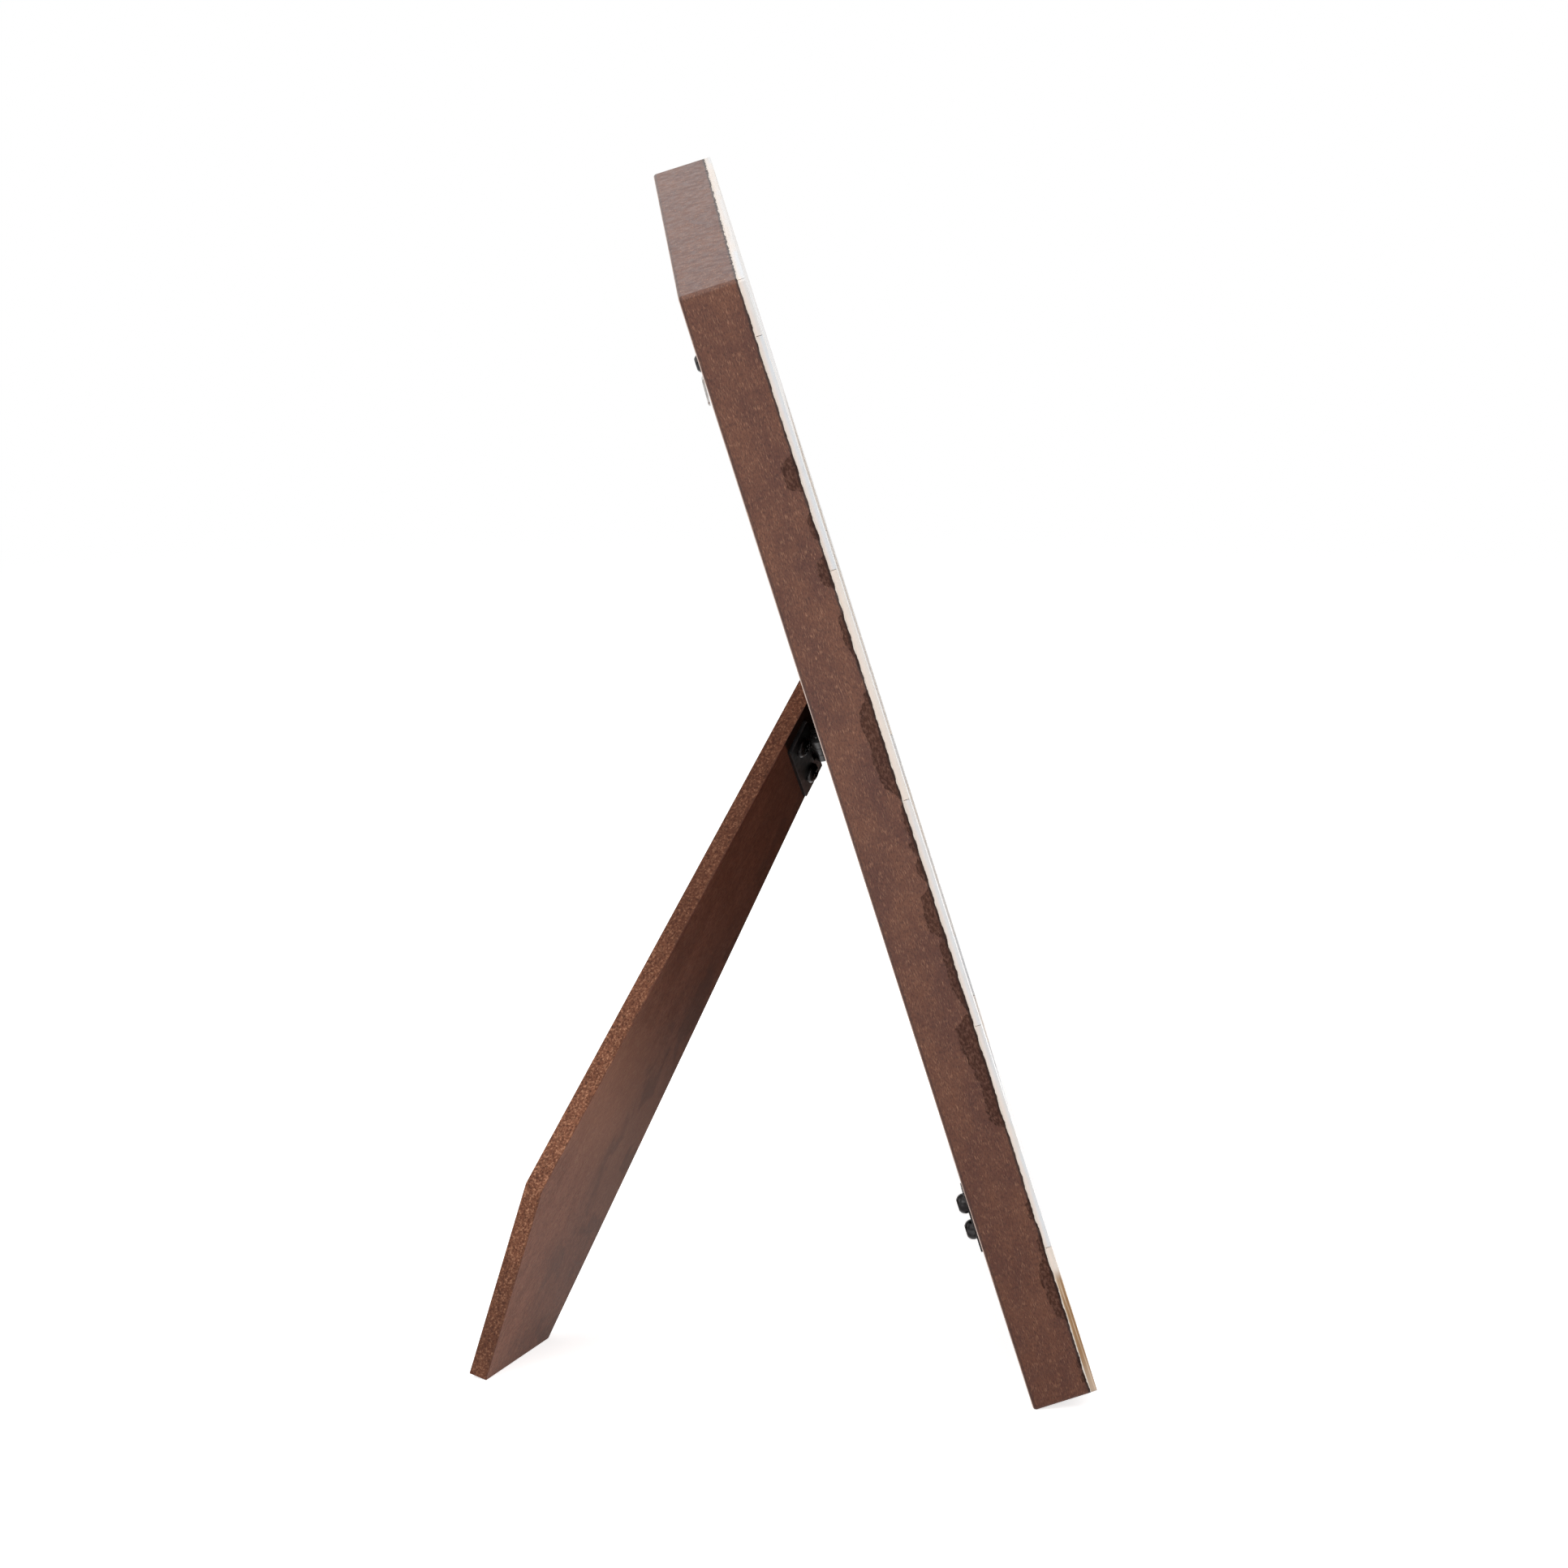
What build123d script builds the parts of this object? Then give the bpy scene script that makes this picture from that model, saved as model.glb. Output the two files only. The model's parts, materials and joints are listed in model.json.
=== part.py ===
"""Easel-back picture frame standing on a shelf.

Four mitred boards, faced with pale tiles, hold a pane of glass, a print, a card and a backing
board. A leg hinged on the backing board runs down one diagonal, so that the frame can stand
upright or on its side. Sizes are in millimetres. The frame leans back, its front faces -Y, +Z is
up, and the origin lies on the shelf below the middle of the standing frame.
"""

import os
from math import atan2, cos, degrees, radians, sin, sqrt, tan

from build123d import *

os.makedirs("parts", exist_ok=True)

# Frame boards
frame_width = 229.0
frame_height = 280.0
rail_width = 54.0
rail_thickness = 14.4
lean_angle = 17.4
corner_round = 1.2
back_edge_round = 0.9

# Pane, print, card and backing board, from the front lip to the back face
glass_thickness = 2.0
print_thickness = 0.3
card_thickness = 1.1
backing_thickness = 4.6
glass_lap = 4.0
glass_play = 0.5
print_play = 1.0
backing_side_lap = 29.25
backing_end_lap = 13.0
backing_play = 0.75

# Tile facing
tile_thickness = 1.45
tile_rows = 3
tile_length = 57.0
tile_joint = 0.12
first_tile = 14.0
shortest_tile = 10.0

# V-nails across the mitres, pressed in from the back
nail_wing = 7.0
nail_thickness = 0.6
nail_depth = 8.0
nail_distances = (15.0, 30.0)
nail_play = 0.02

# Screws
shank_radius = 1.1
screw_play = 0.05
pan_head_radius = 2.5
pan_head_crown = 2.0
low_head_crown = 1.5
head_rim = 0.6
head_flat_radius = 1.5
head_side_bulge = 2.0
frame_screw_length = 10.0
leaf_screw_length = 4.8
csk_head_radius = 2.1
recess_length = 2.6
recess_width = 0.7
recess_depth = 0.9

# Retainer plates over the lower corners of the backing board
retainer_width = 10.0
retainer_height = 15.5
retainer_thickness = 0.7
retainer_round = 1.0
retainer_lap = 3.0
retainer_screw_margin = 3.5
retainer_screw_spacing = 6.8
retainer_screw_lift = 0.95
retainer_above_corner = 1.6

# Turn button over the top edge of the backing board, with its tail raised by a step
button_thickness = 0.5
button_width = 8.0
button_tail_width = 6.0
button_tail = 10.8
button_step = 1.8
button_step_start = 2.9
button_step_run = 1.2
button_tip_lift = 0.3
button_lap = 2.95
button_play = 0.05

# Hinge
leaf_length = 26.0
leaf_reach = 9.5
leaf_thickness = 1.0
leaf_round = 0.5
leaf_screw_margin = 5.5
leaf_screw_drop = 4.9
barrel_length = 11.4
knuckle_radius = 2.0
knuckle_gap = 0.2
knuckle_relief = 0.35
knuckle_seat_gap = 0.25
pin_radius = 0.9
pin_play = 0.05
pin_overhang = 0.3

# Leg
leg_thickness = 4.6
leg_half_width = 15.5
leg_taper_angle = 4.33
leg_near_cut = 42.2
leg_open_angle = 40.96
stop_clearance = 0.15
hinge_side = 2.2
hinge_above_middle = 4.3
hinge_shift = 1.4

# Directions of the leaning frame
lean = radians(lean_angle)
across = Vector(1, 0, 0)
up = Vector(0, sin(lean), cos(lean))
front = Vector(0, -cos(lean), sin(lean))
rear = front * -1

# Directions of the leg, which points to the lower corner on the -X side
diagonal = atan2(frame_width, frame_height)
leg_open = radians(leg_open_angle)
hinge_dir = across * cos(diagonal) - up * sin(diagonal)
folded_dir = across * -sin(diagonal) - up * cos(diagonal)
leg_dir = folded_dir * cos(leg_open) + rear * sin(leg_open)
leg_inner = front * cos(leg_open) + folded_dir * sin(leg_open)

# Levels through the frame's thickness, measured forward from its back face
print_level = backing_thickness + card_thickness
glass_level = print_level + print_thickness
lip_level = glass_level + glass_thickness

# Openings in the boards, from the front to the back
sight_size = (frame_width - 2 * rail_width, frame_height - 2 * rail_width)
glass_opening = (sight_size[0] + 2 * glass_lap, sight_size[1] + 2 * glass_lap)
backing_opening = (sight_size[0] + 2 * backing_side_lap, sight_size[1] + 2 * backing_end_lap)
backing_size = (backing_opening[0] - 2 * backing_play, backing_opening[1] - 2 * backing_play)

# The rounded back edge touches the shelf, so the back face's own lower edge lies just below it
edge_drop = back_edge_round * (up.Z + front.Z - 1)

# Distance of the hinge axis from the boards that its leaves lie on
hinge_offset = knuckle_radius + knuckle_seat_gap

# Hinge axis from the middle of the back face's lower edge, and the height of the leg's inner face
hinge_in_frame = across * hinge_side + up * (frame_height / 2 + hinge_above_middle) + rear * hinge_offset
inner_height = hinge_in_frame.Z - edge_drop - leg_inner.Z * hinge_offset


def shelf_drop(offset):
    """Distance down the leg at which its inner face meets the shelf, offset mm along the hinge."""
    return -(inner_height + hinge_dir.Z * offset) / leg_dir.Z


# Leg corners: the near edge is cut off towards the tip, and the foot lies along the shelf
leg_taper = tan(radians(leg_taper_angle))
leg_middle = -hinge_shift
tip_drop = shelf_drop(leg_middle)
near_drop = tip_drop - leg_near_cut
near_side = leg_middle - leg_half_width - leg_taper * near_drop
far_drop = shelf_drop(leg_middle + leg_half_width) / (1 + leg_taper * hinge_dir.Z / leg_dir.Z)
far_side = leg_middle + leg_half_width + leg_taper * far_drop
leg_top = (leg_thickness + 2 * hinge_offset) / sin(leg_open)
top_half_width = leg_half_width - leg_taper * leg_top

# The origin lies midway between the tiles' lower front edge and the outer edge of the leg's tip
tip_y = (hinge_in_frame + hinge_dir * leg_middle + leg_dir * tip_drop).Y
foot_y = tip_y - leg_inner.Y * (hinge_offset + leg_thickness)
front_y = front.Y * (rail_thickness + tile_thickness)
frame_origin = Vector(0, -(foot_y + front_y) / 2, -edge_drop)
hinge_point = frame_origin + hinge_in_frame

# Working planes: the back face looking forward and looking back, and the hinge's two leaves
front_view = Plane(origin=frame_origin, x_dir=across, z_dir=front)
rear_view = Plane(origin=frame_origin, x_dir=across * -1, z_dir=rear)
leg_plane = Plane(origin=hinge_point, x_dir=hinge_dir, z_dir=leg_inner)
fixed_plane = Plane(origin=hinge_point, x_dir=hinge_dir * -1, z_dir=rear)
pin_plane = Plane(origin=hinge_point, x_dir=rear, z_dir=hinge_dir)

# Places of the fittings and screws, seen from behind, and from the hinge
retainer_inner_end = backing_size[0] / 2 - retainer_lap
retainer_middle = retainer_inner_end + retainer_width / 2
retainer_rise = (frame_height - backing_size[1]) / 2 + retainer_above_corner
retainer_places = [(side * retainer_middle, retainer_rise) for side in (-1, 1)]
retainer_screw_side = retainer_inner_end + retainer_width - retainer_screw_margin
retainer_screw_places = [
    (side * retainer_screw_side, retainer_rise + retainer_screw_lift + end * retainer_screw_spacing / 2)
    for side in (-1, 1)
    for end in (-1, 1)
]
button_place = (0, (frame_height + backing_size[1]) / 2 - button_lap + button_tail)
leaf_screw_reach = leaf_length / 2 - leaf_screw_margin
leaf_screw_places = [(end * leaf_screw_reach, -leaf_screw_drop) for end in (-1, 1)]

# Each board's outer edge as its start corner on the back face, its direction and its length
board_edges = {
    "left_stile": (-frame_width / 2, frame_height, up * -1, frame_height),
    "bottom_rail": (-frame_width / 2, 0, across, frame_width),
    "right_stile": (frame_width / 2, 0, up, frame_height),
    "top_rail": (frame_width / 2, frame_height, across * -1, frame_width),
}


def board_plane(name):
    """Plane of a board on the back face: x along its outer edge, y into the frame, z forward."""
    x, height, along, _ = board_edges[name]
    return Plane(origin=frame_origin + across * x + up * height, x_dir=along, z_dir=front)


def mitred_corners(length, gap):
    """Corners of a mitred board, drawn back by half a gap at each mitre."""
    inset = gap / sqrt(2)
    inner = rail_width + inset
    return [(inset, 0), (length - inset, 0), (length - inner, rail_width), (inner, rail_width)]


def nail_wings(play):
    """The V-nails' wings as (place, width, height), two that meet on the mitre for each nail."""
    long = nail_wing + nail_thickness + 2 * play
    thick = nail_thickness + 2 * play
    wings = []
    for side in (-1, 1):
        for edge, inward in ((0, 1), (frame_height, -1)):
            for distance in nail_distances:
                x = side * (frame_width / 2 - distance)
                y = edge + inward * distance
                wings.append(((x - side * nail_wing / 2, y), long, thick))
                wings.append(((x, y + inward * nail_wing / 2), thick, long))
    return wings


def tile_joints(row, length):
    """Places of the cross joints along a row, staggered by half a tile from row to row."""
    row_start = row * rail_width / tile_rows
    place = first_tile + (row % 2) * tile_length / 2
    places = []
    while place < length - row_start - shortest_tile:
        if place > row_start + shortest_tile:
            places.append(place)
        place += tile_length
    return places


def pan_screw(length, crown):
    """Pan head screw with a cross recess, its seat at the origin and its shank along -Z."""
    with BuildPart() as screw:
        with BuildSketch(Plane.XZ):
            with BuildLine():
                Polyline(
                    (head_flat_radius, crown),
                    (0, crown),
                    (0, -length),
                    (shank_radius, shank_radius - length),
                    (shank_radius, 0),
                    (pan_head_radius, 0),
                    (pan_head_radius, head_rim),
                )
                RadiusArc((pan_head_radius, head_rim), (head_flat_radius, crown), -head_side_bulge)
            make_face()
        revolve(axis=Axis.Z)
        with BuildSketch(Plane.XY.offset(crown)):
            Rectangle(recess_length, recess_width)
            Rectangle(recess_width, recess_length)
        extrude(amount=-recess_depth, mode=Mode.SUBTRACT)
    return screw.part


def countersunk_screw(length):
    """Countersunk screw with a cross recess, its flat head level with the origin."""
    with BuildPart() as screw:
        with BuildSketch(Plane.XZ):
            with BuildLine():
                Polyline(
                    (0, 0),
                    (0, -length),
                    (shank_radius, shank_radius - length),
                    (shank_radius, shank_radius - csk_head_radius),
                    (csk_head_radius, 0),
                    close=True,
                )
            make_face()
        revolve(axis=Axis.Z)
        with BuildSketch():
            Rectangle(recess_length, recess_width)
            Rectangle(recess_width, recess_length)
        extrude(amount=-recess_depth, mode=Mode.SUBTRACT)
    return screw.part


def hinge_leaf(plane, own_thirds, other_thirds):
    """One leaf: a plate below the axis, its knuckles round the axis, and notches for the others."""
    third = barrel_length / 3
    round_plane = Plane(origin=plane.origin, x_dir=plane.y_dir, z_dir=plane.x_dir)
    with BuildPart() as leaf:
        with BuildSketch(plane.offset(-hinge_offset)) as plate:
            with Locations((0, -leaf_reach / 2)):
                Rectangle(leaf_length, leaf_reach)
            fillet(plate.vertices().group_by(Axis.Y)[0], leaf_round)
            with Locations(*[(place * third, 0) for place in other_thirds]):
                Rectangle(third + knuckle_gap, 2 * (knuckle_radius + knuckle_relief), mode=Mode.SUBTRACT)
        extrude(amount=leaf_thickness)
        for place in own_thirds:
            with BuildSketch(round_plane.offset(place * third)):
                Circle(knuckle_radius)
            extrude(amount=(third - knuckle_gap) / 2, both=True)
        with BuildSketch(round_plane):
            Circle(pin_radius + pin_play)
        extrude(amount=leaf_length, both=True, mode=Mode.SUBTRACT)
    return leaf.part


# Carcass: the four boards in one piece, before the mitres are cut
with BuildPart() as carcass:
    with BuildSketch(front_view):
        with Locations((0, frame_height / 2)):
            RectangleRounded(frame_width, frame_height, corner_round)
    extrude(amount=rail_thickness)
    back_face = carcass.faces().sort_by(Axis((0, 0, 0), front))[0]
    fillet(back_face.edges(), back_edge_round)
    for opening, depth in (
        (sight_size, rail_thickness),
        (glass_opening, lip_level),
        (backing_opening, backing_thickness),
    ):
        with BuildSketch(front_view):
            with Locations((0, frame_height / 2)):
                Rectangle(*opening)
        extrude(amount=depth, mode=Mode.SUBTRACT)
    with BuildSketch(front_view):
        for place, width, height in nail_wings(nail_play):
            with Locations(place):
                Rectangle(width, height)
    extrude(amount=nail_depth, mode=Mode.SUBTRACT)
    with BuildSketch(rear_view):
        with Locations(*retainer_screw_places, button_place):
            Circle(shank_radius + screw_play)
    extrude(amount=-frame_screw_length, mode=Mode.SUBTRACT)

for name, (_, _, _, length) in board_edges.items():
    with BuildPart() as board:
        add(carcass.part)
        with BuildSketch(board_plane(name)):
            with BuildLine():
                Polyline(*mitred_corners(length, 0), close=True)
            make_face()
        extrude(amount=rail_thickness, mode=Mode.INTERSECT)
    board.part.label = name
    export_step(board.part, f"parts/{name}.step")

# Tile facing on each board: rows along the board, cut by the joints
row_width = rail_width / tile_rows
for name, (_, _, _, length) in board_edges.items():
    tile_plane = board_plane(name).offset(rail_thickness)
    with BuildPart() as tiles:
        with BuildSketch(tile_plane):
            with BuildLine():
                Polyline(*mitred_corners(length, tile_joint), close=True)
            make_face()
        extrude(amount=tile_thickness)
        with BuildSketch(front_view.offset(rail_thickness)):
            with Locations((0, frame_height / 2)):
                RectangleRounded(frame_width, frame_height, corner_round)
        extrude(amount=tile_thickness, mode=Mode.INTERSECT)
        with BuildSketch(tile_plane):
            for row in range(tile_rows):
                if row > 0:
                    with Locations((length / 2, row * row_width)):
                        Rectangle(length, tile_joint)
                for place in tile_joints(row, length):
                    with Locations((place, (row + 0.5) * row_width)):
                        Rectangle(tile_joint, row_width)
        extrude(amount=tile_thickness, mode=Mode.SUBTRACT)
    tiles.part.label = name.split("_")[0] + "_tiles"
    export_step(tiles.part, f"parts/{tiles.part.label}.step")

# V-nails that hold the mitres
with BuildPart() as corner_v_nails:
    with BuildSketch(front_view):
        for place, width, height in nail_wings(0):
            with Locations(place):
                Rectangle(width, height)
    extrude(amount=nail_depth)
corner_v_nails.part.label = "corner_v_nails"
export_step(corner_v_nails.part, "parts/corner_v_nails.step")

# Flat pieces behind the lip: pane, print and card
for name, level, thickness, play in (
    ("glass_pane", glass_level, glass_thickness, glass_play),
    ("photo_print", print_level, print_thickness, print_play),
    ("backing_card", backing_thickness, card_thickness, glass_play),
):
    with BuildPart() as sheet:
        with BuildSketch(front_view.offset(level)):
            with Locations((0, frame_height / 2)):
                Rectangle(glass_opening[0] - 2 * play, glass_opening[1] - 2 * play)
        extrude(amount=thickness)
    sheet.part.label = name
    export_step(sheet.part, f"parts/{name}.step")

# Backing board, flush with the back face, drilled for the hinge screws
with BuildPart() as backing_board:
    with BuildSketch(front_view):
        with Locations((0, frame_height / 2)):
            Rectangle(*backing_size)
    extrude(amount=backing_thickness)
    with BuildSketch(fixed_plane.offset(-hinge_offset)):
        with Locations(*leaf_screw_places):
            Circle(shank_radius + screw_play)
    extrude(amount=leaf_thickness - leaf_screw_length, mode=Mode.SUBTRACT)
backing_board.part.label = "backing_board"
export_step(backing_board.part, "parts/backing_board.step")

# Retainer plates and their screws
for name, place in zip(("retainer_right", "retainer_left"), retainer_places):
    with BuildPart() as retainer:
        with BuildSketch(rear_view):
            with Locations(place):
                RectangleRounded(retainer_width, retainer_height, retainer_round)
            with Locations(*retainer_screw_places):
                Circle(shank_radius + screw_play, mode=Mode.SUBTRACT)
        extrude(amount=retainer_thickness)
    retainer.part.label = name
    export_step(retainer.part, f"parts/{name}.step")

frame_screw = pan_screw(frame_screw_length, pan_head_crown)
with BuildPart() as retainer_screws:
    with Locations(rear_view.offset(retainer_thickness)):
        with Locations(*retainer_screw_places):
            add(frame_screw)
retainer_screws.part.label = "retainer_screws"
export_step(retainer_screws.part, "parts/retainer_screws.step")

# Turn button: a strip seen from the side, trimmed to its outline seen from behind
button_plane = Plane(rear_view.location * Location((*button_place, button_play)))
button_side = Plane(origin=button_plane.origin, x_dir=button_plane.y_dir, z_dir=button_plane.x_dir)
step_end = button_step_start + button_step_run
with BuildPart() as turn_button:
    with BuildSketch(button_side):
        with BuildLine():
            Polyline(
                (button_width / 2, 0),
                (-button_step_start, 0),
                (-step_end, button_step),
                (-button_tail, button_step + button_tip_lift),
            )
            offset(amount=button_thickness, side=Side.RIGHT)
        make_face()
    extrude(amount=button_width / 2, both=True)
    with BuildSketch(button_plane):
        Circle(button_width / 2)
        with Locations((0, -button_tail / 2 + button_tail_width / 4)):
            Rectangle(button_tail_width, button_tail - button_tail_width / 2)
        with Locations((0, button_tail_width / 2 - button_tail)):
            Circle(button_tail_width / 2)
        Circle(shank_radius + screw_play, mode=Mode.SUBTRACT)
    extrude(amount=button_step + button_tip_lift + 2 * button_thickness, mode=Mode.INTERSECT)
turn_button.part.label = "turn_button"
export_step(turn_button.part, "parts/turn_button.step")

with BuildPart() as turn_button_screw:
    with Locations(button_plane.offset(button_thickness + button_play)):
        add(frame_screw)
turn_button_screw.part.label = "turn_button_screw"
export_step(turn_button_screw.part, "parts/turn_button_screw.step")

# Hinge: fixed leaf with countersunk screws, leg leaf with pan head screws, and the pin
with BuildPart() as hinge_fixed_leaf:
    add(hinge_leaf(fixed_plane, (-1, 1), (0,)))
    with Locations(fixed_plane.offset(leaf_thickness - hinge_offset)):
        with Locations(*leaf_screw_places):
            CounterSinkHole(
                radius=shank_radius + screw_play,
                counter_sink_radius=csk_head_radius + screw_play,
                depth=leaf_thickness,
                counter_sink_angle=90,
            )
hinge_fixed_leaf.part.label = "hinge_fixed_leaf"
export_step(hinge_fixed_leaf.part, "parts/hinge_fixed_leaf.step")

with BuildPart() as fixed_leaf_screws:
    with Locations(fixed_plane.offset(leaf_thickness - hinge_offset)):
        with Locations(*leaf_screw_places):
            add(countersunk_screw(leaf_screw_length))
fixed_leaf_screws.part.label = "fixed_leaf_screws"
export_step(fixed_leaf_screws.part, "parts/fixed_leaf_screws.step")

with BuildPart() as hinge_pin:
    with BuildSketch(pin_plane):
        Circle(pin_radius)
    extrude(amount=barrel_length / 2 + pin_overhang, both=True)
    chamfer(hinge_pin.edges().filter_by(GeomType.CIRCLE), pin_overhang)
hinge_pin.part.label = "hinge_pin"
export_step(hinge_pin.part, "parts/hinge_pin.step")

with BuildPart() as hinge_leg_leaf:
    add(hinge_leaf(leg_plane, (0,), (-1, 1)))
    with Locations(leg_plane.offset(leaf_thickness - hinge_offset)):
        with Locations(*leaf_screw_places):
            Hole(radius=shank_radius + screw_play, depth=leaf_thickness)
hinge_leg_leaf.part.label = "hinge_leg_leaf"
export_step(hinge_leg_leaf.part, "parts/hinge_leg_leaf.step")

with BuildPart() as leg_leaf_screws:
    with Locations(leg_plane.offset(leaf_thickness - hinge_offset)):
        with Locations(*leaf_screw_places):
            add(pan_screw(leaf_screw_length, low_head_crown))
leg_leaf_screws.part.label = "leg_leaf_screws"
export_step(leg_leaf_screws.part, "parts/leg_leaf_screws.step")

# Leg: its top is bevelled to stop against the backing board when it is open
with BuildPart() as leg_board:
    with BuildSketch(leg_plane.offset(-hinge_offset)):
        with BuildLine():
            Polyline(
                (leg_middle - top_half_width, leg_top),
                (near_side, -near_drop),
                (leg_middle, -tip_drop),
                (far_side, -far_drop),
                (leg_middle + top_half_width, leg_top),
                close=True,
            )
        make_face()
        with Locations(*leaf_screw_places):
            Circle(shank_radius + screw_play, mode=Mode.SUBTRACT)
    extrude(amount=-leg_thickness)
    split(bisect_by=rear_view.offset(stop_clearance), keep=Keep.TOP)
leg_board.part.label = "leg_board"
export_step(leg_board.part, "parts/leg_board.step")

# Values that the joints and mounts are stated with
print("hinge point", hinge_point, "axis", hinge_dir, "fold to", degrees(leg_open))
print("turn button", button_plane.origin, "axis", rear)
print("bottom face", frame_origin + front * rail_thickness / 2, "axis", up * -1)
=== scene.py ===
import json
from math import cos, radians, sin

import bmesh
import bpy
import numpy as np
from mathutils import Matrix, Vector

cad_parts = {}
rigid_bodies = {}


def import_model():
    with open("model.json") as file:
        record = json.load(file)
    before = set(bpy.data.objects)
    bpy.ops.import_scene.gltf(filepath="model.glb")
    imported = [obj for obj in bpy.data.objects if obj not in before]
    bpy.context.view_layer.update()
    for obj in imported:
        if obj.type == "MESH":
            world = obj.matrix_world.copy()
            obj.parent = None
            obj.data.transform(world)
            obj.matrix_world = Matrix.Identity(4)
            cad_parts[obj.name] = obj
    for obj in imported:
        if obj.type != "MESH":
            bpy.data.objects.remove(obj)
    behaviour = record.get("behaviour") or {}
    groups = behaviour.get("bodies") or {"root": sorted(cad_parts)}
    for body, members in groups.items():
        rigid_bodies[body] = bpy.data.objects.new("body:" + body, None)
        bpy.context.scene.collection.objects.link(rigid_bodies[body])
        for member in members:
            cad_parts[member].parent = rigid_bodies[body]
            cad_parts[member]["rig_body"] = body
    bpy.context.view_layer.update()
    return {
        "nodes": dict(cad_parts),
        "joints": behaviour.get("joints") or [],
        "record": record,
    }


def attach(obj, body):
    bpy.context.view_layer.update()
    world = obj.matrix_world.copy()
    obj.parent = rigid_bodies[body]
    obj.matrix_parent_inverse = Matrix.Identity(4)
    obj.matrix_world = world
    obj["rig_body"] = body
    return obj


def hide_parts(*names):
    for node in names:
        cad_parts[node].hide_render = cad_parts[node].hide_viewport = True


# An easel-back picture frame: stained fibreboard faced with pale tiles, on a hinged leg.
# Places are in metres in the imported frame; patterns are sized in millimetres.
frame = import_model()
nodes = frame["nodes"]
mm = 0.001

# Directions and places of the leaning frame and its leg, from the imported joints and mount
joints = {joint["name"]: joint for joint in frame["joints"]}
base_point = Vector(frame["record"]["mounts"][0]["pos_m"])
across = Vector((1, 0, 0))
rear = Vector(joints["turn_button_swivel"]["axis"])
front = -rear
up = front.cross(across)
hinge_point = Vector(joints["leg_fold"]["pos_m"])
hinge_dir = -Vector(joints["leg_fold"]["axis"])
leg_open = radians(joints["leg_fold"]["range_deg"][1])
folded_dir = hinge_dir.cross(front)
leg_dir = folded_dir * cos(leg_open) + rear * sin(leg_open)
leg_inner = front * cos(leg_open) + folded_dir * sin(leg_open)

# Stain pools on the stiles, from the tiles inwards: height of the middle, half length, reach
stain_pools = (
    (233, 5.5, 3.7),
    (220, 4.5, 1.9),
    (209, 5, 3.0),
    (193, 8, 1.7),
    (166, 16, 3.9),
    (141, 13, 1.8),
    (124, 8, 3.4),
    (109, 12, 2.5),
    (91, 9, 4.7),
    (78, 11, 3.5),
    (48, 4, 1.3),
    (37, 6, 1.6),
    (28, 11, 3.2),
    (6, 5, 1.0),
)

# The stain's reach between the pools, and the share of a pool's half length that has its full reach
least_stain = 0.3
full_pool = 0.45

# Boards get painted shade towards the foot, and are duller there, up to this height
foot_reach = 200.0

# Dark line beside the back arris's wear and painted highlight: distance from the back
arris_line = 0.55

# How far a tile's pattern is shifted along each axis, times the tile's tone
tile_shift = (900.0, 370.0, 0.0)

# Seed of the tiles' tones
tone_seed = 7

# The lowest outer tile on the left: height of its tan, length over which that ends, its paler foot
# and how far it fades inwards on the front
tan_height = 33.0
tan_end = 4.0
tan_foot = 12.0
tan_inwards = 9.0

# In the search for that tile, how much being further out counts for each unit of being lower
outer_weight = 100

# Stretches and a place along the leg, counted upwards from the hinge, so that the foot is negative
leg_shaded = (-115.0, -30.0)
leg_thin_stain = -108.0
leg_gloss = (-160.0, 0.0)
leg_edge_shaded = (-105.0, -55.0)
leg_edge_foot = (-178.0, -142.0)

# A face of the leg that is turned further from its inner side than this cosine is a sawn edge
sawn_cosine = 0.7

# Border line on the blank insert: distance from its edge, and width
border_inset = 13.0
border_width = 0.5

# Air between the pane and the insert
print_gap = 0.05

# Dull metal is rougher than clean metal by this much
dull_roughness = 0.14

# Widths of softened edges
board_arris = 0.25
tile_arris = 0.06
leg_arris = 0.35
glass_arris = 0.1
hinge_arris = 0.12
screw_arris = 0.1
strip_arris = 0.08
arris_segments = 2

# How meshes are joined and softened
weld_distance = 1e-6
flat_angle = radians(1)
crease_angle = radians(30)

# Camera, fitted to the straight edges in the photograph
camera_place = (-1.4743, 0.0623, 0.4621)
camera_yaw = radians(-2.624)
camera_pitch = radians(12.777)
camera_lens = 138.35
camera_near = 0.05
camera_far = 50

# Stage: the floor's half size, where it stops being lit and is plain white, its tone and its glow,
# and the fill light from the sky
floor_reach = 6.0
floor_lit_reach = 0.35
floor_white_reach = 3 * floor_lit_reach
floor_tone = 0.86
floor_lift = 0.70
sky_fill = 0.42

# Soft lights: name, place, target, size and energy
softboxes = (
    ("overhead", (-0.2, 0.1, 1.7), (0, 0, 0.1), 1.4, 11),
    ("left", (-1.1, 0.55, 1.0), (0, 0, 0.13), 0.9, 5),
    ("rear", (0.3, 1.5, 0.7), (0, 0, 0.13), 1.0, 4),
    ("front_left", (-0.9, -1.4, 0.9), (0, 0, 0.13), 1.2, 8),
)


def mesh_points(mesh):
    """A mesh's points as an array of rows."""
    points = np.empty(len(mesh.vertices) * 3)
    mesh.vertices.foreach_get("co", points)
    return points.reshape(-1, 3)


def seen_along(points, axes):
    """Points in the coordinates of a set of axes, in millimetres."""
    origin, *directions = axes
    return (points - np.array(origin)) @ np.array(directions).T / mm


def node_along(node, axes):
    """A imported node's points in the coordinates of a set of axes, in millimetres."""
    return seen_along(mesh_points(nodes[node].data), axes)


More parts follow.
